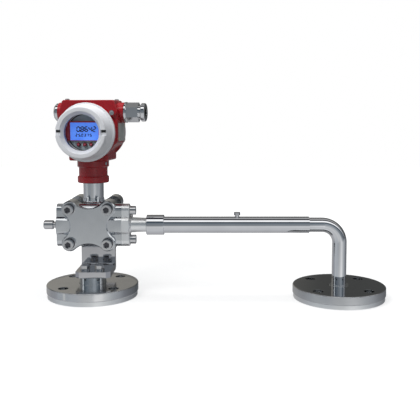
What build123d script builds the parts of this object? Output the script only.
"""Density meter with two flanged diaphragm seals, in millimetres.

The origin is the centre of the left seal's sealing face. +Z is up, +X points to the right seal
and -Y is the front, where the display looks.
"""

from build123d import *
import math
import os

# Flanged diaphragm seals
FLANGE_D = 165.0
FLANGE_T = 15.0
FLANGE_EDGE = 1.2
BOLT_CIRCLE_D = 125.0
BOLT_HOLE_D = 18.0
BOLT_COUNT = 4
SEAL_STEP = 1.5
SEAL_T = 7.75
STEM_D = 48.6
STEM_RISE = 12.75
RIGHT_STEM_D = 36.0
STEM_GAP = 0.3
DIAPHRAGM_D = 84.0
DIAPHRAGM_T = 0.5
DIAPHRAGM_RECESS = 1.0
SEAL_DISTANCE_X = 445.3

# Tube between the cell and the right seal
TUBE_D = 25.6
TUBE_WALL = 2.0
TUBE_BEND_R = 32.0
SLEEVE_D = 29.3
SLEEVE_END_X = 390.0
SLEEVE_GAP = 0.1
COLLAR_D = 35.9
COLLAR_L = 31.0
COLLAR_GRIP = 15.0
NECK_TAPER_L = 29.7
NECK_ROOT_D = 27.0
NECK_TIP_D = 25.0
CAPILLARY_D = 4.0
PLUG_X = 262.0
PLUG_STEM_D = 7.4
PLUG_HEAD_D = 11.8
PLUG_HEAD_H = 5.6
PLUG_NECK_H = 2.4

# Clamping flanges of the cell
CELL_FRONT_Y = 0.0
CLAMP_T = 37.0
PORT_DEPTH = 18.0
LOBE_X = 33.5
LOBE_Z = 30.6
LOBE_R = 14.0
WAIST_X = 33.0
WAIST_Z = 31.8
CLAMP_EDGE = 1.6
BOSS_X = 57.5
BOSS_HUB_R = 20.0
BOSS_HALF_D = 17.5
EAR_R = 12.1
EAR_Z = 26.1
SPOT_R = 12.0
SPOT_DEPTH = 1.5
PORT_D = 8.0
PORT_DRILL_D = 6.0
PORT_THREAD_D = 14.0
PORT_THREAD_L = 18.0
PAD_W = 52.0
PAD_D = 33.0

# Sensor module between them, and its neck
MODULE_T = 40.0
MODULE_R = 39.0
MODULE_BOSS_R = 19.6
MODULE_BOSS_H = 5.0
NECK_D = 37.2
NECK_BORE_D = 28.0
NECK_L = 40.6
RING_R = 29.0
RING_SECTION = 2.6
FOIL_D = 50.0
FOIL_T = 0.3

# Fasteners: head or nut sizes across flats or diameter, and heights
CLAMP_BOLT_D = 12.0
CLAMP_HOLE_D = 13.0
CLAMP_HEAD_D = 18.0
CLAMP_HEAD_H = 12.0
CLAMP_SOCKET = 10.0
WASHER_D = 21.0
WASHER_T = 2.0
SPRING_WASHER_D = 19.6
SPRING_WASHER_T = 3.0
CAP_NUT_AF = 19.0
CAP_NUT_HEX_H = 10.0
CAP_NUT_H = 22.0
CAP_NUT_DOME_R = 8.7
ADAPTER_T = 13.8
ADAPTER_BOLT_D = 10.0
ADAPTER_HEAD_D = 16.0
ADAPTER_HEAD_H = 10.5
ADAPTER_SOCKET = 8.0
ADAPTER_GRIP = 14.0
GASKET_D = 25.0
GASKET_T = 1.6
HOLE_GAP = 0.5
FIT = 0.05
SEAT = 0.3

# Vent valve and port plugs
VENT_SEAT_R = 9.6
VENT_SEAT_TIP_R = 6.4
VENT_SEAT_L = 4.6
VENT_STEM_D = 6.0
VENT_NECK_D = 9.0
VENT_NECK_L = 2.2
VENT_KNOB_D = 16.6
VENT_KNOB_L = 17.6
VENT_KNOB_EDGE = 1.6
PORT_PLUG_AF = 17.0
PORT_PLUG_H = 9.0

# Bracket
BRACKET_X = 3.3
BRACKET_W = 63.2
FOOT_T = 11.0
FOOT_CORNER = 7.6
WEB_Y = 42.5
WEB_H = 29.5
TAB_L = 21.5
BEND_R = 3.0
FOOT_SCREW_X = 13.0
FOOT_SCREW_Y = -2.5
FOOT_SCREW_D = 10.0
FOOT_SCREW_AF = 15.0
FOOT_SCREW_HEAD_H = 6.4
FOOT_SCREW_WASHER_D = 18.0
FOOT_SCREW_WASHER_T = 2.0
FOOT_SCREW_DEPTH = 9.0
TAB_SCREW_X = 15.0
TAB_SCREW_Y = 66.0

# Oil line from the left seal to the rear clamping flange
LINE_D = 8.0
LINE_BORE_D = 4.0
LINE_Z = 29.2
LINE_BACK_Y = 112.0
LINE_BEND_R = 18.0
LINE_SOCKET = 5.0
FITTING_D = 18.0
FITTING_H = 12.0

# Red collar between neck and housing; the housing's spigot turns in it
HEAD_COLLAR_D = 57.2
HEAD_COLLAR_WAIST_D = 52.0
COLLAR_BAND_H = 12.0
COLLAR_WAIST_H = 16.6
COLLAR_TOP_H = 12.4
COLLAR_BORE_D = 26.0
SPIGOT_D = 42.0
SPIGOT_H = 11.0
SET_SCREW_D = 6.0
SET_SCREW_ANGLE = 25.0

# Housing, set out from the neck's centre line; the covers lie along its own front direction
HEAD_YAW = 7.0
BASE_HALF_W = 36.0
BASE_H = 17.5
BODY_HALF_W = 53.7
BODY_TOP_HALF_W = 47.3
BODY_SIDE_Z = 33.8
BODY_H = 108.2
BODY_SHOULDER_H = 21.5
BODY_HALF_D = 28.0
BODY_EDGE = 2.0
COVER_AXIS_H = 51.0
CHAMBER_RING_L = 9.3
CHAMBER_BORE_D = 91.0
CHAMBER_DEPTH = 27.0
CENTRE_BORE_D = 20.0
ENTRY_DROP = 21.9
ENTRY_BOSS_D = 36.0
ENTRY_BOSS_L = 6.9
ENTRY_BORE_D = 19.0
LOCK_BOSS_R = 7.4
LOCK_BOSS_L = 5.0
LOCK_ANGLE = 37.5
LOCK_GAP = 0.4

# Covers
COVER_GAP = 0.3
RIM_D = 104.8
RING_STEP = 1.9
ROOT_STEP = 0.3
RIM_T = 5.0
COVER_SHOULDER_D = 98.0
COVER_FACE_D = 93.0
COVER_FRONT_L = 33.7
COVER_FACE_L = 9.0
COVER_WAIST_D = 90.0
COVER_WAIST_L = 2.0
COVER_SKIRT_L = 8.0
COVER_WALL = 4.5
WINDOW_D = 63.0
WINDOW_BEVEL_D = 74.0
WINDOW_LIP = 3.0
WINDOW_BEVEL_L = 5.0
GLASS_D = 72.0
GLASS_T = 8.0
GLASS_RING_D = 78.0
GLASS_RING_T = 2.5
NOTCH_W = 10.0
NOTCH_DEPTH = 5.0
NOTCH_REACH = 1.5
REAR_COVER_L = 24.0
REAR_COVER_WALL = 6.0
COVER_RING_D = 96.0
COVER_RING_SECTION = 2.2

# Display and boards inside the housing
PLATE_D = 78.0
PLATE_T = 3.0
PLATE_C = 41.0
POST_D = 6.0
BEZEL_W = 76.0
BEZEL_H = 34.5
BEZEL_T = 5.0
BEZEL_TOP_H = 20.0
LCD_W = 51.0
LCD_H = 31.0
LCD_T = 2.0
LCD_TOP_H = 17.3
BUTTON_PITCH = 11.5
BUTTON_D = 7.6
BUTTON_DROP = 21.2
BUTTON_L = 8.0
BUTTON_TRAVEL = 1.0
BOARD_D = 80.0
BOARD_T = 1.6
BOARD_C = 20.0
TERMINAL_W = 54.0
TERMINAL_H = 22.0
TERMINAL_T = 16.0
TERMINAL_COUNT = 3
TERMINAL_PITCH = 15.0
TERMINAL_SCREW_D = 6.4
TERMINAL_SCREW_H = 3.0

# Plate and screws on the housing
NAMEPLATE_L = 44.0
NAMEPLATE_H = 32.0
NAMEPLATE_T = 0.8
NAMEPLATE_GAP = 1.3
RIVET_D = 3.6
RIVET_H = 1.2
TOP_SCREW_S = 40.0
TOP_SCREW_C = 20.0
TOP_SCREW_D = 8.0
TOP_SCREW_H = 2.6
LOCK_SCREW_D = 8.4
LOCK_SCREW_H = 3.6
EARTH_S = -44.0
EARTH_H = 32.0
EARTH_D = 9.0
EARTH_L = 7.0

# Cable gland and blind plug
GLAND_DISC_D = 37.4
GLAND_DISC_T = 5.3
GLAND_AF = 31.0
GLAND_HEX_L = 21.0
GLAND_NECK_D = 26.0
GLAND_NECK_L = 4.2
GLAND_THREAD_L = 14.0
GLAND_BORE_D = 14.0
GLAND_NUT_D = 33.2
GLAND_NUT_L = 8.0
GLAND_NUT_SPIGOT_L = 3.0
CABLE_BORE_D = 10.0
INSERT_D = 20.0
INSERT_L = 12.0
BLIND_HEAD_D = 31.0
BLIND_HEAD_T = 3.0
BLIND_KEY_DEPTH = 4.5

# Heights and places worked out from the sizes above
SEAL_D = FLANGE_D - 2 * SEAL_STEP
FLANGE_TOP_Z = SEAL_T + FLANGE_T
STEM_TOP_Z = FLANGE_TOP_Z + STEM_RISE
FOOT_TOP_Z = STEM_TOP_Z + FOOT_T
TAB_TOP_Z = FOOT_TOP_Z + WEB_H + FOOT_T
CELL_Z = TAB_TOP_Z + LOBE_Z + LOBE_R
CELL_REAR_Y = CELL_FRONT_Y + MODULE_T
NECK_Y = CELL_FRONT_Y + MODULE_T / 2
TUBE_Y = CELL_FRONT_Y - PORT_DEPTH
CLAMP_FACE_Y = CELL_FRONT_Y - CLAMP_T
CLAMP_REAR_Y = CELL_REAR_Y + CLAMP_T
REAR_PORT_Y = CELL_REAR_Y + PORT_DEPTH
ADAPTER_FACE_X = BOSS_X + ADAPTER_T
COLLAR_X = ADAPTER_FACE_X + NECK_TAPER_L
SLEEVE_X = COLLAR_X + COLLAR_L - COLLAR_GRIP
NECK_FOOT_Z = CELL_Z + MODULE_R + MODULE_BOSS_H
HEAD_COLLAR_Z = NECK_FOOT_Z + NECK_L - COLLAR_BAND_H
HEAD_COLLAR_H = COLLAR_BAND_H + COLLAR_WAIST_H + COLLAR_TOP_H
HOUSING_Z = HEAD_COLLAR_Z + HEAD_COLLAR_H + FIT
COVER_Z = HOUSING_Z + COVER_AXIS_H
ENTRY_Z = HOUSING_Z + BODY_H - ENTRY_DROP
NAMEPLATE_Z = ENTRY_Z - ENTRY_BOSS_D / 2 - NAMEPLATE_GAP - NAMEPLATE_H / 2
BODY_SHOULDER_Z = BODY_H - BODY_SHOULDER_H
CHAMBER_RING_D = RIM_D - 2 * RING_STEP
CHAMBER_ROOT_D = RIM_D + 2 * ROOT_STEP
LOCK_RADIUS = CHAMBER_ROOT_D / 2 + LOCK_SCREW_D / 2 + LOCK_GAP
LOCK_S = LOCK_RADIUS * math.cos(math.radians(LOCK_ANGLE))
LOCK_Z = COVER_Z + LOCK_RADIUS * math.sin(math.radians(LOCK_ANGLE))
CHAMBER_FACE_C = BODY_HALF_D + CHAMBER_RING_L
COVER_SEAT_C = CHAMBER_FACE_C + COVER_GAP
COVER_FRONT_C = COVER_SEAT_C + COVER_FRONT_L
GLASS_FRONT_C = COVER_FRONT_C - WINDOW_BEVEL_L - WINDOW_LIP
ENTRY_FACE_S = BODY_HALF_W + ENTRY_BOSS_L
HEAD_FRAME = Pos(0, NECK_Y, 0) * Rot(0, 0, -HEAD_YAW)

BUTTON_NAMES = ("button_left", "button_middle", "button_right")
QUARTERS = [(x, z) for x in (-1, 1) for z in (-1, 1)]


def turned(profile, origin=(0, 0, 0), direction=(0, 0, 1)):
    """Solid turned from (radius, height) points, with its foot at origin and its axis along direction."""
    blank = revolve(Plane.XZ * make_face(Polyline(*profile, close=True)), Axis.Z)
    return Plane(origin=origin, z_dir=direction) * blank


def rod(diameter, length, origin=(0, 0, 0), direction=(0, 0, 1)):
    """Plain cylinder from origin along direction."""
    return turned([(0, 0), (diameter / 2, 0), (diameter / 2, length), (0, length)], origin, direction)


def ring(outer_d, inner_d, length, origin=(0, 0, 0), direction=(0, 0, 1)):
    """Plain ring from origin along direction."""
    profile = [(inner_d / 2, 0), (outer_d / 2, 0), (outer_d / 2, length), (inner_d / 2, length)]
    return turned(profile, origin, direction)


def hexagon(across_flats, length, origin=(0, 0, 0), direction=(0, 0, 1)):
    """Hexagonal prism from origin along direction."""
    face = RegularPolygon(across_flats / 2, 6, major_radius=False)
    return Plane(origin=origin, z_dir=direction) * extrude(face, length)


def socket_screw(diameter, length, head_d, head_h, socket, origin, direction):
    """Socket-head screw: its head's underside is at origin and its head points along direction."""
    axis = Vector(*direction).normalized()
    seat = Vector(*origin)
    head = rod(head_d, head_h, seat, axis)
    shank = rod(diameter, length, seat, -axis)
    key = hexagon(socket, head_h, seat + axis * (head_h / 2), axis)
    return head + shank - key


def hex_screw(diameter, length, across_flats, head_h, washer_d, washer_t, origin, direction):
    """Hexagon screw with its washer: the washer's underside is at origin."""
    axis = Vector(*direction).normalized()
    seat = Vector(*origin)
    shank = rod(diameter, length, seat, -axis)
    washer = rod(washer_d, washer_t, seat, axis)
    head = hexagon(across_flats, head_h, seat + axis * washer_t, axis)
    return head + washer + shank


def bolt_circle_holes(centre_x, centre_y):
    """Tools for a seal's bolt holes, on the diagonals."""
    holes = []
    for index in range(BOLT_COUNT):
        angle = math.radians(180 / BOLT_COUNT + index * 360 / BOLT_COUNT)
        x = centre_x + BOLT_CIRCLE_D / 2 * math.cos(angle)
        y = centre_y + BOLT_CIRCLE_D / 2 * math.sin(angle)
        holes.append(rod(BOLT_HOLE_D, FLANGE_TOP_Z + 2, (x, y, -1)))
    return holes


def backing_flange(centre_x, centre_y, stem_d):
    """Loose flange that lies on a seal body and slips over its stem."""
    outer = FLANGE_D / 2
    bore = stem_d / 2 + STEM_GAP
    profile = [
        (bore, 0),
        (outer - FLANGE_EDGE, 0),
        (outer, FLANGE_EDGE),
        (outer, FLANGE_T - FLANGE_EDGE),
        (outer - FLANGE_EDGE, FLANGE_T),
        (bore, FLANGE_T),
    ]
    flange = turned(profile, (centre_x, centre_y, SEAL_T))
    return flange - bolt_circle_holes(centre_x, centre_y)


def seal_body(centre_x, centre_y, stem_d, stem_top, bore_d):
    """Seal disc with its stem, a shallow recess for the diaphragm and an oil bore."""
    profile = [
        (bore_d / 2, DIAPHRAGM_RECESS),
        (DIAPHRAGM_D / 2, DIAPHRAGM_RECESS),
        (DIAPHRAGM_D / 2, 0),
        (SEAL_D / 2, 0),
        (SEAL_D / 2, SEAL_T),
        (stem_d / 2, SEAL_T),
        (stem_d / 2, stem_top),
        (bore_d / 2, stem_top),
    ]
    return turned(profile, (centre_x, centre_y, 0)) - bolt_circle_holes(centre_x, centre_y)


def left_seal_body():
    """Left seal body: its stem takes the bracket's screws and the oil line."""
    body = seal_body(0, 0, STEM_D, STEM_TOP_Z, LINE_BORE_D)
    for side in (-1, 1):
        place = (side * FOOT_SCREW_X, FOOT_SCREW_Y, STEM_TOP_Z)
        body -= rod(FOOT_SCREW_D, FOOT_SCREW_DEPTH, place, (0, 0, -1))
    body -= rod(LINE_D, LINE_SOCKET, (0, STEM_D / 2 - LINE_SOCKET, LINE_Z), (0, 1, 0))
    return body - rod(LINE_BORE_D, STEM_D / 2, (0, 0, LINE_Z), (0, 1, 0))


def diaphragm(centre_x, centre_y):
    """Thin metal foil over a seal's recess."""
    return rod(DIAPHRAGM_D, DIAPHRAGM_T, (centre_x, centre_y, DIAPHRAGM_RECESS - DIAPHRAGM_T))


def pipe_along(path, diameter, bore_d):
    """Pipe swept along a path of runs and arcs, hollow where bore_d is above nothing."""
    start = Plane(origin=path @ 0, z_dir=path % 0)
    section = start * Circle(diameter / 2)
    if bore_d:
        section -= start * Circle(bore_d / 2)
    return sweep(section, path=path)


def elbow_path(start_x, end_z):
    """Centre line of the tube: along X, then down to the right seal."""
    return FilletPolyline(
        (start_x, TUBE_Y, CELL_Z),
        (SEAL_DISTANCE_X, TUBE_Y, CELL_Z),
        (SEAL_DISTANCE_X, TUBE_Y, end_z),
        radius=TUBE_BEND_R,
    )


def elbow_tube():
    """Tube from inside the collar to the right seal's stem."""
    return pipe_along(elbow_path(SLEEVE_X, FLANGE_TOP_Z), TUBE_D, TUBE_D - 2 * TUBE_WALL)


def oil_capillary():
    """Fine oil tube inside the elbow tube, from the adapter's neck into the right seal body."""
    return pipe_along(elbow_path(ADAPTER_FACE_X, SEAL_T), CAPILLARY_D, 0)


def tube_sleeve():
    """Thicker sleeve over the straight part of the tube, with the fill plug's hole."""
    inner = TUBE_D + 2 * SLEEVE_GAP
    sleeve = ring(SLEEVE_D, inner, SLEEVE_END_X - SLEEVE_X, (SLEEVE_X, TUBE_Y, CELL_Z), (1, 0, 0))
    return sleeve - rod(PLUG_STEM_D, SLEEVE_D, (PLUG_X, TUBE_Y, CELL_Z), (0, 0, 1))


def tube_collar():
    """Collar that joins the adapter's neck to the sleeve."""
    grip_x = COLLAR_L - COLLAR_GRIP
    outer = COLLAR_D / 2
    edge = FLANGE_EDGE / 2
    profile = [
        (NECK_TIP_D / 2, 0),
        (outer - edge, 0),
        (outer, edge),
        (outer, COLLAR_L - edge),
        (outer - edge, COLLAR_L),
        (SLEEVE_D / 2, COLLAR_L),
        (SLEEVE_D / 2, grip_x),
        (NECK_TIP_D / 2, grip_x),
    ]
    return turned(profile, (COLLAR_X, TUBE_Y, CELL_Z), (1, 0, 0))


def fill_plug():
    """Plug on top of the sleeve, through which the tube is filled."""
    top = CELL_Z + SLEEVE_D / 2 + PLUG_NECK_H
    foot = CELL_Z + TUBE_D / 2 + SLEEVE_GAP
    stem = rod(PLUG_STEM_D, top - foot, (PLUG_X, TUBE_Y, foot))
    head = hexagon(PLUG_HEAD_D * math.cos(math.radians(30)), PLUG_HEAD_H, (PLUG_X, TUBE_Y, top))
    return stem + head


def hub_outline():
    """Outline of a port boss: round, with its front and rear cut flat."""
    return Circle(BOSS_HUB_R) & Rectangle(2 * BOSS_HALF_D, 2 * BOSS_HUB_R)


def eared_outline():
    """Outline of a port boss with an ear above and below for the adapter's screws."""
    return hub_outline() + SlotCenterToCenter(2 * EAR_Z, 2 * EAR_R, rotation=90)


def boss_block(outline, start_x, length, port_y):
    """Block of a boss outline, from start_x along +X."""
    plane = Plane(origin=(start_x, port_y, CELL_Z), x_dir=(0, 1, 0), z_dir=(1, 0, 0))
    return extrude(plane * outline, length)


def tube_adapter():
    """Oval plate with the tapering neck that carries the collar."""
    root = NECK_ROOT_D / 2
    tip = NECK_TIP_D / 2
    flare = 3.0
    bore = CAPILLARY_D / 2
    profile = [
        (bore, -ADAPTER_T / 2),
        (root + flare, -ADAPTER_T / 2),
        (root + flare, 0),
        (root, flare),
        (tip, NECK_TAPER_L),
        (tip, NECK_TAPER_L + COLLAR_L - COLLAR_GRIP),
        (bore, NECK_TAPER_L + COLLAR_L - COLLAR_GRIP),
    ]
    neck = turned(profile, (ADAPTER_FACE_X, TUBE_Y, CELL_Z), (1, 0, 0))
    plate = boss_block(eared_outline(), BOSS_X, ADAPTER_T, TUBE_Y)
    plate = chamfer(plate.faces().sort_by(Axis.X)[-1].edges(), FLANGE_EDGE)
    plate += neck
    plate -= rod(CAPILLARY_D, ADAPTER_T + 2, (BOSS_X - 1, TUBE_Y, CELL_Z), (1, 0, 0))
    plate -= rod(GASKET_D, GASKET_T, (BOSS_X, TUBE_Y, CELL_Z), (1, 0, 0))
    for side in (-1, 1):
        place = (BOSS_X - 1, TUBE_Y, CELL_Z + side * EAR_Z)
        plate -= rod(ADAPTER_BOLT_D + HOLE_GAP, ADAPTER_T + 2, place, (1, 0, 0))
    return plate


def adapter_gasket():
    """Flat ring in the adapter's face."""
    return ring(GASKET_D, PORT_THREAD_D, GASKET_T, (BOSS_X, TUBE_Y, CELL_Z), (1, 0, 0))


def adapter_screws():
    """Two socket screws through the adapter's ears."""
    screws = []
    for side in (-1, 1):
        screws.append(
            socket_screw(
                ADAPTER_BOLT_D,
                ADAPTER_T + ADAPTER_GRIP,
                ADAPTER_HEAD_D,
                ADAPTER_HEAD_H,
                ADAPTER_SOCKET,
                (ADAPTER_FACE_X, TUBE_Y, CELL_Z + side * EAR_Z),
                (1, 0, 0),
            )
        )
    return Compound(screws)


def waist_radius(lobe_along, lobe_across, waist):
    """Radius of the hollow that runs tangent into two lobes and reaches in to waist."""
    step = waist - lobe_across
    return (lobe_along**2 + step**2 - LOBE_R**2) / (2 * (LOBE_R - step))


def lobe_touch(hollow_x, hollow_z):
    """Point where the lobe at +X +Z runs into the hollow centred at this point."""
    step = Vector(hollow_x - LOBE_X, hollow_z - LOBE_Z).normalized() * LOBE_R
    return LOBE_X + step.X, LOBE_Z + step.Y


def clamp_outline():
    """X-shaped outline: four round lobes with hollows between them."""
    top = lobe_touch(0, WAIST_Z + waist_radius(LOBE_X, LOBE_Z, WAIST_Z))
    side = lobe_touch(WAIST_X + waist_radius(LOBE_Z, LOBE_X, WAIST_X), 0)
    corner = LOBE_R / math.sqrt(2)
    arcs = []
    for x, z in QUARTERS:
        tip = (x * (LOBE_X + corner), z * (LOBE_Z + corner))
        arcs.append(ThreePointArc((x * top[0], z * top[1]), tip, (x * side[0], z * side[1])))
    for sign in (-1, 1):
        arcs.append(ThreePointArc((-top[0], sign * top[1]), (0, sign * WAIST_Z), (top[0], sign * top[1])))
        arcs.append(ThreePointArc((sign * side[0], -side[1]), (sign * WAIST_X, 0), (sign * side[0], side[1])))
    return make_face(arcs)


def clamp_flange(inner_y, outward, boss_outline):
    """Clamping flange whose inner face is at inner_y and whose body lies outward (-1 front, 1 rear)."""
    plane = Plane(origin=(0, inner_y, CELL_Z), x_dir=(-outward, 0, 0), z_dir=(0, outward, 0))
    flange = extrude(plane * clamp_outline(), CLAMP_T)
    outer_face = flange.faces().sort_by(Axis.Y)[0 if outward < 0 else -1]
    flange = chamfer(outer_face.edges(), CLAMP_EDGE)
    port_y = inner_y + outward * PORT_DEPTH
    flange += boss_block(boss_outline, -BOSS_X, 2 * BOSS_X, port_y)
    outer_y = inner_y + outward * CLAMP_T
    for x, z in QUARTERS:
        seat = (x * LOBE_X, outer_y, CELL_Z + z * LOBE_Z)
        flange -= rod(CLAMP_HOLE_D, CLAMP_T + 2, (seat[0], outer_y + outward, seat[2]), (0, -outward, 0))
        flange -= rod(2 * SPOT_R, SPOT_DEPTH, seat, (0, -outward, 0))
    groove = ring(
        2 * RING_R + RING_SECTION,
        2 * RING_R - RING_SECTION,
        RING_SECTION,
        (0, inner_y, CELL_Z),
        (0, outward, 0),
    )
    flange -= groove
    flange -= rod(PORT_D, 2 * BOSS_X, (-BOSS_X, port_y, CELL_Z), (1, 0, 0))
    flange -= rod(PORT_DRILL_D, PORT_DEPTH, (0, inner_y, CELL_Z), (0, outward, 0))
    return flange, port_y


def front_clamp_flange():
    """Front flange: threaded port at the left for the vent valve, tapped ears at the right."""
    flange, port_y = clamp_flange(CELL_FRONT_Y, -1, eared_outline())
    flange -= rod(PORT_THREAD_D, PORT_THREAD_L, (-BOSS_X, port_y, CELL_Z), (1, 0, 0))
    for side in (-1, 1):
        flange -= rod(ADAPTER_BOLT_D, ADAPTER_GRIP, (BOSS_X, port_y, CELL_Z + side * EAR_Z), (-1, 0, 0))
    return flange


def rear_clamp_flange():
    """Rear flange: threaded ports at both sides, a pad for the bracket and a seat for the oil line."""
    flange, port_y = clamp_flange(CELL_REAR_Y, 1, hub_outline())
    for side in (-1, 1):
        flange -= rod(PORT_THREAD_D, PORT_THREAD_L, (side * BOSS_X, port_y, CELL_Z), (-side, 0, 0))
    pad_top = CELL_Z - WAIST_Z + SEAT
    pad_h = pad_top - TAB_TOP_Z
    flange += Pos(0, CELL_REAR_Y + PAD_D / 2, TAB_TOP_Z + pad_h / 2) * Box(PAD_W, PAD_D, pad_h)
    for side in (-1, 1):
        place = (BRACKET_X + side * TAB_SCREW_X, TAB_SCREW_Y, TAB_TOP_Z)
        flange -= rod(FOOT_SCREW_D, FOOT_SCREW_DEPTH, place)
    return flange - rod(LINE_BORE_D, CLAMP_T - PORT_DEPTH, (0, CLAMP_REAR_Y, CELL_Z), (0, -1, 0))


def sensor_module():
    """Sealed measuring capsule between the clamping flanges, with the boss that carries the neck."""
    module = rod(2 * MODULE_R, MODULE_T, (0, CELL_FRONT_Y, CELL_Z), (0, 1, 0))
    module = chamfer(module.edges(), FLANGE_EDGE)
    module += rod(2 * MODULE_BOSS_R, MODULE_R + MODULE_BOSS_H, (0, NECK_Y, CELL_Z))
    for y, inward in ((CELL_FRONT_Y, 1), (CELL_REAR_Y, -1)):
        module -= rod(FOIL_D, 2 * FOIL_T, (0, y, CELL_Z), (0, inward, 0))
    return module


def module_foils():
    """Two isolating diaphragms in the module's faces."""
    foils = []
    for y, inward in ((CELL_FRONT_Y, 1), (CELL_REAR_Y, -1)):
        foils.append(rod(FOIL_D, FOIL_T, (0, y + inward * FOIL_T, CELL_Z), (0, inward, 0)))
    return Compound(foils)


def flange_rings():
    """Two sealing rings between the module and the clamping flanges."""
    rings = []
    for y, outward in ((CELL_FRONT_Y, -1), (CELL_REAR_Y, 1)):
        outer = 2 * RING_R + RING_SECTION
        inner = 2 * RING_R - RING_SECTION
        rings.append(ring(outer, inner, RING_SECTION, (0, y, CELL_Z), (0, outward, 0)))
    return Compound(rings)


def sensor_neck():
    """Steel neck tube from the module up into the red collar."""
    return ring(NECK_D, NECK_BORE_D, NECK_L, (0, NECK_Y, NECK_FOOT_Z))


def clamp_fasteners():
    """Long socket bolts, their washers and spring washers, and the cap nuts behind."""
    front = CLAMP_FACE_Y + SPOT_DEPTH
    rear = CLAMP_REAR_Y - SPOT_DEPTH
    head_y = front - WASHER_T - SPRING_WASHER_T
    nut_y = rear + WASHER_T
    shank = nut_y + CAP_NUT_H - CAP_NUT_DOME_R - head_y
    bolts, washers, springs, nuts = [], [], [], []
    bore = CLAMP_BOLT_D
    for x, z in QUARTERS:
        cx, cz = x * LOBE_X, CELL_Z + z * LOBE_Z
        bolts.append(
            socket_screw(
                CLAMP_BOLT_D, shank, CLAMP_HEAD_D, CLAMP_HEAD_H, CLAMP_SOCKET, (cx, head_y, cz), (0, -1, 0)
            )
        )
        washers.append(ring(WASHER_D, bore + HOLE_GAP, WASHER_T, (cx, front, cz), (0, -1, 0)))
        washers.append(ring(WASHER_D, bore + HOLE_GAP, WASHER_T, (cx, rear, cz), (0, 1, 0)))
        spring_place = (cx, front - WASHER_T, cz)
        springs.append(ring(SPRING_WASHER_D, bore + HOLE_GAP, SPRING_WASHER_T, spring_place, (0, -1, 0)))
        nuts.append(cap_nut((cx, nut_y, cz)))
    return {
        "clamp_bolts": Compound(bolts),
        "clamp_washers": Compound(washers),
        "clamp_spring_washers": Compound(springs),
        "cap_nuts": Compound(nuts),
    }


def cap_nut(place):
    """Domed nut on a clamp bolt's end, pointing to the rear."""
    dome_foot = CAP_NUT_H - CAP_NUT_DOME_R
    nut = hexagon(CAP_NUT_AF, CAP_NUT_HEX_H, place, (0, 1, 0))
    nut += rod(2 * CAP_NUT_DOME_R, dome_foot, place, (0, 1, 0))
    dome = Sphere(CAP_NUT_DOME_R)
    nut += Pos(place[0], place[1] + dome_foot, place[2]) * dome
    return nut - rod(CLAMP_BOLT_D, dome_foot, place, (0, 1, 0))


def vent_body():
    """Vent valve's seat, screwed into the front flange's left port."""
    neck_x = -BOSS_X
    profile = [
        (VENT_STEM_D / 2 + FIT, -PORT_THREAD_L),
        (PORT_THREAD_D / 2, -PORT_THREAD_L),
        (PORT_THREAD_D / 2, 0),
        (VENT_SEAT_R, 0),
        (VENT_SEAT_TIP_R, VENT_SEAT_L),
        (VENT_STEM_D / 2 + FIT, VENT_SEAT_L),
    ]
    return turned(profile, (neck_x, TUBE_Y, CELL_Z), (-1, 0, 0))


def vent_screw():
    """Vent screw with its hand knob."""
    start = VENT_SEAT_L + SEAT
    neck_end = start + VENT_NECK_L
    end = neck_end + VENT_KNOB_L
    radius = VENT_KNOB_D / 2
    profile = [
        (0, SEAT - PORT_THREAD_L),
        (VENT_STEM_D / 2, SEAT - PORT_THREAD_L),
        (VENT_STEM_D / 2, start),
        (VENT_NECK_D / 2, start),
        (VENT_NECK_D / 2, neck_end),
        (radius - VENT_KNOB_EDGE, neck_end),
        (radius, neck_end + VENT_KNOB_EDGE),
        (radius, end - VENT_KNOB_EDGE),
        (radius - VENT_KNOB_EDGE, end),
        (0, end),
    ]
    return turned(profile, (-BOSS_X, TUBE_Y, CELL_Z), (-1, 0, 0))


def port_plugs():
    """Hexagon plugs in the rear flange's side ports."""
    plugs = []
    for side in (-1, 1):
        face = (side * BOSS_X, REAR_PORT_Y, CELL_Z)
        plug = rod(PORT_THREAD_D, PORT_THREAD_L, face, (-side, 0, 0))
        plug += hexagon(PORT_PLUG_AF, PORT_PLUG_H, face, (side, 0, 0))
        plugs.append(plug)
    return Compound(plugs)


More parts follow.
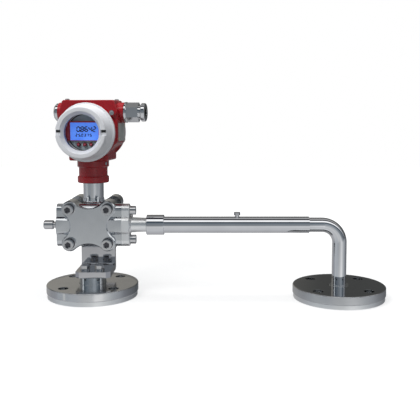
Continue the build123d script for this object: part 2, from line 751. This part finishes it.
def bracket():
    """Folded plate: a foot on the seal's stem, a web behind it and a tab under the rear flange."""
    front = -STEM_D / 2
    web_rear = WEB_Y + FOOT_T
    tab_end = web_rear + TAB_L
    side = [
        (front, STEM_TOP_Z),
        (web_rear, STEM_TOP_Z),
        (web_rear, TAB_TOP_Z - FOOT_T),
        (tab_end, TAB_TOP_Z - FOOT_T),
        (tab_end, TAB_TOP_Z),
        (WEB_Y, TAB_TOP_Z),
        (WEB_Y, FOOT_TOP_Z),
        (front, FOOT_TOP_Z),
    ]
    face = make_face(Polyline(*side, close=True))
    left = Plane(origin=(BRACKET_X - BRACKET_W / 2, 0, 0), x_dir=(0, 1, 0), z_dir=(1, 0, 0))
    plate = extrude(left * face, BRACKET_W)
    along_x = plate.edges().filter_by(Axis.X)
    inner = [e for e in along_x if is_bend(e, WEB_Y, FOOT_TOP_Z) or is_bend(e, web_rear, TAB_TOP_Z - FOOT_T)]
    outer = [e for e in along_x if is_bend(e, web_rear, STEM_TOP_Z) or is_bend(e, WEB_Y, TAB_TOP_Z)]
    plate = fillet(inner, BEND_R)
    outer = [
        e
        for e in plate.edges().filter_by(Axis.X)
        if is_bend(e, web_rear, STEM_TOP_Z) or is_bend(e, WEB_Y, TAB_TOP_Z)
    ]
    plate = fillet(outer, BEND_R + FOOT_T / 2)
    corners = plate.edges().filter_by(Axis.Z).group_by(Axis.Y)[0]
    plate = chamfer(corners, FOOT_CORNER)
    for direction in (-1, 1):
        place = (direction * FOOT_SCREW_X, FOOT_SCREW_Y, STEM_TOP_Z - 1)
        plate -= rod(FOOT_SCREW_D + HOLE_GAP, FOOT_T + 2, place)
        place = (BRACKET_X + direction * TAB_SCREW_X, TAB_SCREW_Y, TAB_TOP_Z - FOOT_T - 1)
        plate -= rod(FOOT_SCREW_D + HOLE_GAP, FOOT_T + 2, place)
    return plate


def is_bend(edge, y, z):
    """Whether an edge along X lies at this height and depth."""
    centre = edge.center()
    return abs(centre.Y - y) < 0.01 and abs(centre.Z - z) < 0.01


def foot_screws():
    """Two hexagon screws that hold the bracket's foot on the seal's stem."""
    screws = []
    for side in (-1, 1):
        screws.append(
            hex_screw(
                FOOT_SCREW_D,
                FOOT_T + FOOT_SCREW_DEPTH,
                FOOT_SCREW_AF,
                FOOT_SCREW_HEAD_H,
                FOOT_SCREW_WASHER_D,
                FOOT_SCREW_WASHER_T,
                (side * FOOT_SCREW_X, FOOT_SCREW_Y, FOOT_TOP_Z),
                (0, 0, 1),
            )
        )
    return Compound(screws)


def tab_screws():
    """Two hexagon screws up through the bracket's tab into the rear flange."""
    screws = []
    for side in (-1, 1):
        screws.append(
            hex_screw(
                FOOT_SCREW_D,
                FOOT_T + FOOT_SCREW_DEPTH,
                FOOT_SCREW_AF,
                FOOT_SCREW_HEAD_H,
                FOOT_SCREW_WASHER_D,
                FOOT_SCREW_WASHER_T,
                (BRACKET_X + side * TAB_SCREW_X, TAB_SCREW_Y, TAB_TOP_Z - FOOT_T),
                (0, 0, -1),
            )
        )
    return Compound(screws)


def line_fitting():
    """Round fitting on the rear flange that the oil line enters."""
    fitting = rod(FITTING_D, FITTING_H, (0, CLAMP_REAR_Y, CELL_Z), (0, 1, 0))
    fitting = chamfer(fitting.edges().sort_by(Axis.Y)[-1], FLANGE_EDGE)
    fitting -= rod(LINE_BORE_D, FITTING_H, (0, CLAMP_REAR_Y, CELL_Z), (0, 1, 0))
    return fitting - rod(LINE_D, LINE_SOCKET, (0, CLAMP_REAR_Y + FITTING_H, CELL_Z), (0, -1, 0))


def oil_line():
    """Steel oil line from the back of the left seal's stem up to the rear flange."""
    path = FilletPolyline(
        (0, STEM_D / 2 - LINE_SOCKET, LINE_Z),
        (0, LINE_BACK_Y, LINE_Z),
        (0, LINE_BACK_Y, CELL_Z),
        (0, CLAMP_REAR_Y + FITTING_H - LINE_SOCKET, CELL_Z),
        radius=LINE_BEND_R,
    )
    return pipe_along(path, LINE_D, LINE_BORE_D)


def head_collar():
    """Red turned collar on the neck, bored at the top for the housing's spigot."""
    outer = HEAD_COLLAR_D / 2
    waist = HEAD_COLLAR_WAIST_D / 2
    edge = FLANGE_EDGE
    waist_top = COLLAR_BAND_H + COLLAR_WAIST_H
    spigot_bore = SPIGOT_D / 2 + FIT
    profile = [
        (NECK_D / 2, 0),
        (outer - edge, 0),
        (outer, edge),
        (outer, COLLAR_BAND_H - edge),
        (outer - edge, COLLAR_BAND_H),
        (waist, COLLAR_BAND_H),
        (waist, waist_top),
        (outer - edge, waist_top),
        (outer, waist_top + edge),
        (outer, HEAD_COLLAR_H - edge),
        (outer - edge, HEAD_COLLAR_H),
        (spigot_bore, HEAD_COLLAR_H),
        (spigot_bore, HEAD_COLLAR_H - SPIGOT_H),
        (COLLAR_BORE_D / 2, HEAD_COLLAR_H - SPIGOT_H),
        (COLLAR_BORE_D / 2, COLLAR_BAND_H),
        (NECK_D / 2, COLLAR_BAND_H),
    ]
    collar = turned(profile, (0, NECK_Y, HEAD_COLLAR_Z))
    return collar - set_screw_blank(SET_SCREW_D, HEAD_COLLAR_D)


def set_screw_blank(diameter, reach):
    """Radial rod in the collar's upper band, from the screw's foot outwards."""
    angle = math.radians(-SET_SCREW_ANGLE)
    direction = Vector(math.cos(angle), math.sin(angle), 0)
    foot_r = SPIGOT_D / 2 + FIT
    z = HEAD_COLLAR_Z + HEAD_COLLAR_H - COLLAR_TOP_H / 2
    foot = Vector(0, NECK_Y, z) + direction * foot_r
    return rod(diameter, reach, foot, direction)


def collar_set_screw():
    """Set screw in the collar's upper band."""
    return set_screw_blank(SET_SCREW_D, (HEAD_COLLAR_D - SPIGOT_D) / 2 - SEAT)


def housing():
    """Cast housing: a chamber for each cover, a cable entry at each side and a spigot below its base."""
    outline = [
        (-BASE_HALF_W, 0),
        (BASE_HALF_W, 0),
        (BASE_HALF_W, BASE_H),
        (BODY_HALF_W, BODY_SIDE_Z),
        (BODY_HALF_W, BODY_SHOULDER_Z),
        (BODY_TOP_HALF_W, BODY_H),
        (-BODY_TOP_HALF_W, BODY_H),
        (-BODY_HALF_W, BODY_SHOULDER_Z),
        (-BODY_HALF_W, BODY_SIDE_Z),
        (-BASE_HALF_W, BASE_H),
    ]
    front_plane = Plane(origin=(0, -BODY_HALF_D, HOUSING_Z), x_dir=(1, 0, 0), z_dir=(0, -1, 0))
    body = extrude(front_plane * make_face(Polyline(*outline, close=True)), -2 * BODY_HALF_D)
    body = chamfer(body.edges().filter_by(Axis.Y), BODY_EDGE)
    body = chamfer(body.faces().filter_by(Axis.Y).edges(), BODY_EDGE / 2)
    for front in (1, -1):
        body += chamber_ring(front)
    body -= Pos(0, 0, HOUSING_Z - BASE_H / 2) * Box(2 * BODY_HALF_W, 4 * BODY_HALF_D, BASE_H)
    for front in (1, -1):
        body -= chamber_bore(front)
    body -= rod(CENTRE_BORE_D, 2 * BODY_HALF_D, (0, BODY_HALF_D, COVER_Z), (0, -1, 0))
    body += rod(SPIGOT_D, SPIGOT_H, (0, 0, HOUSING_Z), (0, 0, -1))
    body -= rod(CENTRE_BORE_D, COVER_AXIS_H + SPIGOT_H, (0, 0, HOUSING_Z - SPIGOT_H))
    for side in (-1, 1):
        boss_root = (side * BODY_TOP_HALF_W, 0, ENTRY_Z)
        body += rod(ENTRY_BOSS_D, ENTRY_FACE_S - BODY_TOP_HALF_W, boss_root, (side, 0, 0))
    for side in (-1, 1):
        body -= rod(ENTRY_BORE_D, ENTRY_FACE_S, (0, 0, ENTRY_Z), (side, 0, 0))
    body += rod(2 * LOCK_BOSS_R, LOCK_BOSS_L + BODY_EDGE, lock_place(BODY_HALF_D - BODY_EDGE), (0, -1, 0))
    return body


def lock_place(c):
    """Point on the lock screw's axis at the depth c in front of the neck."""
    return (LOCK_S, -c, LOCK_Z)


def chamber_ring(front):
    """Round raised ring that a cover screws onto, at the front (1) or the rear (-1)."""
    profile = [
        (0, -BODY_EDGE),
        (CHAMBER_ROOT_D / 2, -BODY_EDGE),
        (CHAMBER_ROOT_D / 2, BODY_EDGE),
        (CHAMBER_RING_D / 2, CHAMBER_RING_L),
        (0, CHAMBER_RING_L),
    ]
    return turned(profile, (0, -front * BODY_HALF_D, COVER_Z), (0, -front, 0))


def chamber_bore(front):
    """Tool for a chamber's bore and for the groove of its cover ring."""
    face = (0, -front * CHAMBER_FACE_C, COVER_Z)
    bore = rod(CHAMBER_BORE_D, CHAMBER_DEPTH, face, (0, front, 0))
    outer = COVER_RING_D + COVER_RING_SECTION
    inner = COVER_RING_D - COVER_RING_SECTION
    return bore + ring(outer, inner, COVER_RING_SECTION - COVER_GAP, face, (0, front, 0))


def cover_ring(front):
    """Sealing ring between a chamber's face and its cover."""
    outer = COVER_RING_D + COVER_RING_SECTION
    inner = COVER_RING_D - COVER_RING_SECTION
    foot = (0, -front * (COVER_SEAT_C - COVER_RING_SECTION), COVER_Z)
    return ring(outer, inner, COVER_RING_SECTION - FIT, foot, (0, -front, 0))


def cover_notches(front, face_c, inner_r):
    """Tools for the two notches in a cover's face that a bar turns it by, open from inner_r outward."""
    block = Box(COVER_FACE_D / 2, 2 * NOTCH_DEPTH, NOTCH_W)
    centre_r = inner_r + COVER_FACE_D / 4
    return [Pos(side * centre_r, -front * face_c, COVER_Z) * block for side in (-1, 1)]


def front_cover():
    """Front cover with its window opening, held from inside by the glass and its ring."""
    skirt_r = CHAMBER_BORE_D / 2 - FIT
    face_r = COVER_FACE_D / 2
    glass_r = GLASS_D / 2 + SEAT
    ring_r = GLASS_RING_D / 2
    waist_l = COVER_FRONT_L - COVER_FACE_L - COVER_WAIST_L
    glass_seat = COVER_FRONT_L - WINDOW_BEVEL_L - WINDOW_LIP
    ring_seat = glass_seat - GLASS_T
    profile = [
        (skirt_r - COVER_WALL, -COVER_SKIRT_L),
        (skirt_r, -COVER_SKIRT_L),
        (skirt_r, 0),
        (RIM_D / 2, 0),
        (RIM_D / 2, RIM_T),
        (COVER_SHOULDER_D / 2, RIM_T + 1),
        (COVER_WAIST_D / 2, waist_l),
        (COVER_WAIST_D / 2, waist_l + COVER_WAIST_L),
        (face_r, waist_l + COVER_WAIST_L),
        (face_r, COVER_FRONT_L - 3),
        (face_r - 3, COVER_FRONT_L),
        (WINDOW_BEVEL_D / 2, COVER_FRONT_L),
        (WINDOW_D / 2, COVER_FRONT_L - WINDOW_BEVEL_L),
        (WINDOW_D / 2, glass_seat),
        (glass_r, glass_seat),
        (glass_r, ring_seat),
        (ring_r, ring_seat),
        (ring_r, ring_seat - GLASS_RING_T - 1),
        (skirt_r - COVER_WALL, ring_seat - GLASS_RING_T - 3),
    ]
    cover = turned(profile, (0, -COVER_SEAT_C, COVER_Z), (0, -1, 0))
    return cover - cover_notches(1, COVER_FRONT_C, WINDOW_BEVEL_D / 2 - NOTCH_REACH)


def window_glass():
    """Thick round glass behind the window opening."""
    return rod(GLASS_D, GLASS_T, (0, -GLASS_FRONT_C, COVER_Z), (0, 1, 0))


def glass_ring():
    """Threaded ring that clamps the glass from inside."""
    foot = (0, -(GLASS_FRONT_C - GLASS_T), COVER_Z)
    return ring(GLASS_RING_D, WINDOW_D + 2, GLASS_RING_T, foot, (0, 1, 0))


def rear_cover():
    """Closed rear cover over the terminal chamber."""
    skirt_r = CHAMBER_BORE_D / 2 - FIT
    inner_r = skirt_r - COVER_WALL
    face_r = COVER_FACE_D / 2
    profile = [
        (inner_r, -COVER_SKIRT_L),
        (skirt_r, -COVER_SKIRT_L),
        (skirt_r, 0),
        (RIM_D / 2, 0),
        (RIM_D / 2, RIM_T),
        (COVER_SHOULDER_D / 2, RIM_T + 1),
        (face_r, REAR_COVER_L - 3),
        (face_r - 3, REAR_COVER_L),
        (0, REAR_COVER_L),
        (0, REAR_COVER_L - REAR_COVER_WALL),
        (inner_r - 6, REAR_COVER_L - REAR_COVER_WALL),
        (inner_r, REAR_COVER_L - REAR_COVER_WALL - 6),
    ]
    cover = turned(profile, (0, COVER_SEAT_C, COVER_Z), (0, 1, 0))
    return cover - cover_notches(-1, COVER_SEAT_C + REAR_COVER_L, inner_r)


def display_plate():
    """Round carrier plate of the display, on posts from the electronics board."""
    plate = rod(PLATE_D, PLATE_T, (0, -PLATE_C, COVER_Z), (0, -1, 0))
    post_l = PLATE_C - BOARD_C - BOARD_T
    for x, z in QUARTERS:
        place = (x * PLATE_D / 3.4, -PLATE_C, COVER_Z + z * PLATE_D / 3.4)
        plate += rod(POST_D, post_l, place, (0, 1, 0))
    for index in range(len(BUTTON_NAMES)):
        s, z = button_place(index)
        plate -= rod(BUTTON_D - 2, PLATE_T, (s, -PLATE_C, z), (0, -1, 0))
    return plate


def display_bezel():
    """Red frame around the display glass."""
    front = PLATE_C + PLATE_T
    centre_z = COVER_Z + BEZEL_TOP_H - BEZEL_H / 2
    frame = Pos(0, -(front + BEZEL_T / 2), centre_z) * Box(BEZEL_W, BEZEL_T, BEZEL_H)
    lcd_z = COVER_Z + LCD_TOP_H - LCD_H / 2
    frame -= Pos(0, -(front + BEZEL_T - LCD_T / 2), lcd_z) * Box(LCD_W, LCD_T, LCD_H)
    limit = rod(PLATE_D, BEZEL_T, (0, -front, COVER_Z), (0, -1, 0))
    return frame & limit


def display_lcd():
    """Display glass, set into the bezel."""
    front = PLATE_C + PLATE_T + BEZEL_T
    lcd_z = COVER_Z + LCD_TOP_H - LCD_H / 2
    return Pos(0, -(front - LCD_T / 2), lcd_z) * Box(LCD_W, LCD_T, LCD_H)


def button_place(index):
    """Side and height of a push-button, counted from the left."""
    middle = (len(BUTTON_NAMES) - 1) / 2
    return (index - middle) * BUTTON_PITCH, COVER_Z - BUTTON_DROP


def push_button(index):
    """Round push-button whose stem slides in the carrier plate."""
    s, z = button_place(index)
    stem_r = BUTTON_D / 2 - 1 - FIT
    cap_r = BUTTON_D / 2
    cap_foot = PLATE_T + BUTTON_TRAVEL + SEAT
    profile = [
        (0, 0),
        (stem_r, 0),
        (stem_r, cap_foot),
        (cap_r, cap_foot),
        (cap_r, BUTTON_L - 0.8),
        (cap_r - 0.8, BUTTON_L),
        (0, BUTTON_L),
    ]
    return turned(profile, (s, -PLATE_C, z), (0, -1, 0))


def electronics_board():
    """Round circuit board on the floor of the front chamber."""
    board = rod(BOARD_D, BOARD_T, (0, -BOARD_C, COVER_Z), (0, -1, 0))
    floor_c = CHAMBER_FACE_C - CHAMBER_DEPTH
    for x, z in QUARTERS:
        place = (x * BOARD_D / 3, -BOARD_C, COVER_Z + z * BOARD_D / 3)
        board += rod(POST_D, BOARD_C - floor_c, place, (0, 1, 0))
    return board


def terminal_y():
    """Depth of the terminal block's outer face, behind the neck."""
    return CHAMBER_FACE_C - CHAMBER_DEPTH + TERMINAL_T


def terminal_place(index):
    """Side of a terminal screw, counted from the left."""
    return (index - (TERMINAL_COUNT - 1) / 2) * TERMINAL_PITCH


def terminal_block():
    """Terminal block on the floor of the rear chamber."""
    floor = CHAMBER_FACE_C - CHAMBER_DEPTH
    block = Pos(0, floor + TERMINAL_T / 2, COVER_Z) * Box(TERMINAL_W, TERMINAL_T, TERMINAL_H)
    block = chamfer(block.edges().filter_by(Axis.Y), 2)
    for index in range(TERMINAL_COUNT):
        place = (terminal_place(index), terminal_y(), COVER_Z)
        block -= rod(TERMINAL_SCREW_D, TERMINAL_SCREW_H, place, (0, -1, 0))
    return block


def terminal_screws():
    """Clamping screws of the terminal block."""
    screws = []
    for index in range(TERMINAL_COUNT):
        place = (terminal_place(index), terminal_y(), COVER_Z)
        screws.append(rod(TERMINAL_SCREW_D, TERMINAL_SCREW_H, place, (0, -1, 0)))
    return Compound(screws)


def name_plate():
    """Bare plate on the housing's right side."""
    centre = (BODY_HALF_W + NAMEPLATE_T / 2, 0, NAMEPLATE_Z)
    return Pos(*centre) * Box(NAMEPLATE_T, NAMEPLATE_L, NAMEPLATE_H)


def plate_rivets():
    """Two rivets in opposite corners of the nameplate."""
    rivets = []
    for corner in (-1, 1):
        y = -corner * (NAMEPLATE_L / 2 - RIVET_D)
        z = NAMEPLATE_Z - corner * (NAMEPLATE_H / 2 - RIVET_D)
        rivets.append(rod(RIVET_D, RIVET_H, (BODY_HALF_W + NAMEPLATE_T, y, z), (1, 0, 0)))
    return Compound(rivets)


def top_screws():
    """Two round-head screws on the housing's flat top."""
    screws = []
    for side in (-1, 1):
        place = (side * TOP_SCREW_S, side * TOP_SCREW_C, HOUSING_Z + BODY_H)
        screw = rod(TOP_SCREW_D, TOP_SCREW_H, place)
        screws.append(chamfer(screw.edges().sort_by(Axis.Z)[-1], TOP_SCREW_H / 2))
    return Compound(screws)


def lock_screw():
    """Socket screw that locks the front cover."""
    head = rod(LOCK_SCREW_D, LOCK_SCREW_H, lock_place(BODY_HALF_D + LOCK_BOSS_L), (0, -1, 0))
    key_c = BODY_HALF_D + LOCK_BOSS_L + LOCK_SCREW_H / 2
    return head - hexagon(LOCK_SCREW_D / 2, LOCK_SCREW_H, lock_place(key_c), (0, -1, 0))


def earth_screw():
    """Outer earth terminal on the housing's left side."""
    place = (-BODY_HALF_W, 0, HOUSING_Z + BODY_SIDE_Z + EARTH_H / 2)
    washer = rod(EARTH_D + 4, 1.5, place, (-1, 0, 0))
    return washer + hexagon(EARTH_D, EARTH_L, place, (-1, 0, 0))


def entry_axis(side, distance):
    """Point on a cable entry's axis at a distance outside the housing's entry face."""
    return (side * (ENTRY_FACE_S + distance), 0, ENTRY_Z)


def gland_body():
    """Cable gland's body: thread, round flange, hexagon and the neck that the nut closes."""
    body = rod(ENTRY_BORE_D, GLAND_THREAD_L, entry_axis(1, 0), (-1, 0, 0))
    disc = rod(GLAND_DISC_D, GLAND_DISC_T, entry_axis(1, 0), (1, 0, 0))
    body += chamfer(disc.edges(), FLANGE_EDGE)
    body += hexagon(GLAND_AF, GLAND_HEX_L, entry_axis(1, GLAND_DISC_T), (1, 0, 0))
    neck_x = GLAND_DISC_T + GLAND_HEX_L
    body += rod(GLAND_NECK_D, GLAND_NECK_L, entry_axis(1, neck_x), (1, 0, 0))
    body -= rod(GLAND_BORE_D, GLAND_THREAD_L + neck_x, entry_axis(1, -GLAND_THREAD_L), (1, 0, 0))
    insert_x = neck_x + GLAND_NECK_L - INSERT_L
    body -= rod(INSERT_D, INSERT_L, entry_axis(1, insert_x), (1, 0, 0))
    return body


def gland_insert():
    """Rubber insert that seals on the cable."""
    start = GLAND_DISC_T + GLAND_HEX_L + GLAND_NECK_L - INSERT_L
    length = INSERT_L - GLAND_NUT_SPIGOT_L
    return ring(INSERT_D, CABLE_BORE_D, length, entry_axis(1, start), (1, 0, 0))


def gland_nut():
    """Round nut whose spigot presses the insert."""
    start = GLAND_DISC_T + GLAND_HEX_L + GLAND_NECK_L + FIT
    edge = FLANGE_EDGE
    radius = GLAND_NUT_D / 2
    bore = GLAND_BORE_D / 2
    spigot = INSERT_D / 2 - FIT
    profile = [
        (bore, -GLAND_NUT_SPIGOT_L),
        (spigot, -GLAND_NUT_SPIGOT_L),
        (spigot, 0),
        (radius - edge, 0),
        (radius, edge),
        (radius, GLAND_NUT_L - edge),
        (radius - edge, GLAND_NUT_L),
        (bore, GLAND_NUT_L),
    ]
    return turned(profile, entry_axis(1, start), (1, 0, 0))


def blind_plug():
    """Blind plug in the left cable entry."""
    plug = rod(ENTRY_BORE_D, GLAND_THREAD_L, entry_axis(-1, 0), (1, 0, 0))
    disc = rod(GLAND_NUT_D, GLAND_DISC_T, entry_axis(-1, 0), (-1, 0, 0))
    plug += chamfer(disc.edges(), FLANGE_EDGE / 2)
    head = rod(BLIND_HEAD_D, BLIND_HEAD_T, entry_axis(-1, GLAND_DISC_T), (-1, 0, 0))
    plug += chamfer(head.edges().sort_by(Axis.X)[0], 2 * FLANGE_EDGE)
    key_foot = GLAND_DISC_T + BLIND_HEAD_T - BLIND_KEY_DEPTH
    key = hexagon(BLIND_HEAD_D / 3, BLIND_KEY_DEPTH, entry_axis(-1, key_foot), (-1, 0, 0))
    return plug - key


def lower_nodes():
    """Every node below the turning head."""
    nodes = {
        "left_flange": backing_flange(0, 0, STEM_D),
        "left_seal_body": left_seal_body(),
        "left_diaphragm": diaphragm(0, 0),
        "right_flange": backing_flange(SEAL_DISTANCE_X, TUBE_Y, RIGHT_STEM_D),
        "right_seal_body": seal_body(SEAL_DISTANCE_X, TUBE_Y, RIGHT_STEM_D, FLANGE_TOP_Z, CAPILLARY_D),
        "right_diaphragm": diaphragm(SEAL_DISTANCE_X, TUBE_Y),
        "elbow_tube": elbow_tube(),
        "oil_capillary": oil_capillary(),
        "tube_sleeve": tube_sleeve(),
        "tube_collar": tube_collar(),
        "fill_plug": fill_plug(),
        "tube_adapter": tube_adapter(),
        "adapter_gasket": adapter_gasket(),
        "adapter_screws": adapter_screws(),
        "front_clamp_flange": front_clamp_flange(),
        "rear_clamp_flange": rear_clamp_flange(),
        "sensor_module": sensor_module(),
        "module_foils": module_foils(),
        "flange_rings": flange_rings(),
        "sensor_neck": sensor_neck(),
        "vent_body": vent_body(),
        "vent_screw": vent_screw(),
        "port_plugs": port_plugs(),
        "bracket": bracket(),
        "foot_screws": foot_screws(),
        "tab_screws": tab_screws(),
        "line_fitting": line_fitting(),
        "oil_line": oil_line(),
        "head_collar": head_collar(),
        "collar_set_screw": collar_set_screw(),
    }
    nodes.update(clamp_fasteners())
    return nodes


def head_nodes():
    """Every node of the head, in the housing's own directions."""
    nodes = {
        "housing": housing(),
        "front_cover": front_cover(),
        "window_glass": window_glass(),
        "glass_ring": glass_ring(),
        "front_cover_ring": cover_ring(1),
        "rear_cover": rear_cover(),
        "rear_cover_ring": cover_ring(-1),
        "display_plate": display_plate(),
        "display_bezel": display_bezel(),
        "display_lcd": display_lcd(),
        "electronics_board": electronics_board(),
        "terminal_block": terminal_block(),
        "terminal_screws": terminal_screws(),
        "name_plate": name_plate(),
        "plate_rivets": plate_rivets(),
        "top_screws": top_screws(),
        "lock_screw": lock_screw(),
        "earth_screw": earth_screw(),
        "gland_body": gland_body(),
        "gland_insert": gland_insert(),
        "gland_nut": gland_nut(),
        "blind_plug": blind_plug(),
    }
    for index, name in enumerate(BUTTON_NAMES):
        nodes[name] = push_button(index)
    return {name: HEAD_FRAME * shape for name, shape in nodes.items()}


def main():
    """Write one STEP file per node."""
    os.makedirs("parts", exist_ok=True)
    nodes = lower_nodes()
    nodes.update(head_nodes())
    for name, shape in nodes.items():
        export_step(shape, f"parts/{name}.step")
    print(len(nodes), "nodes")


main()
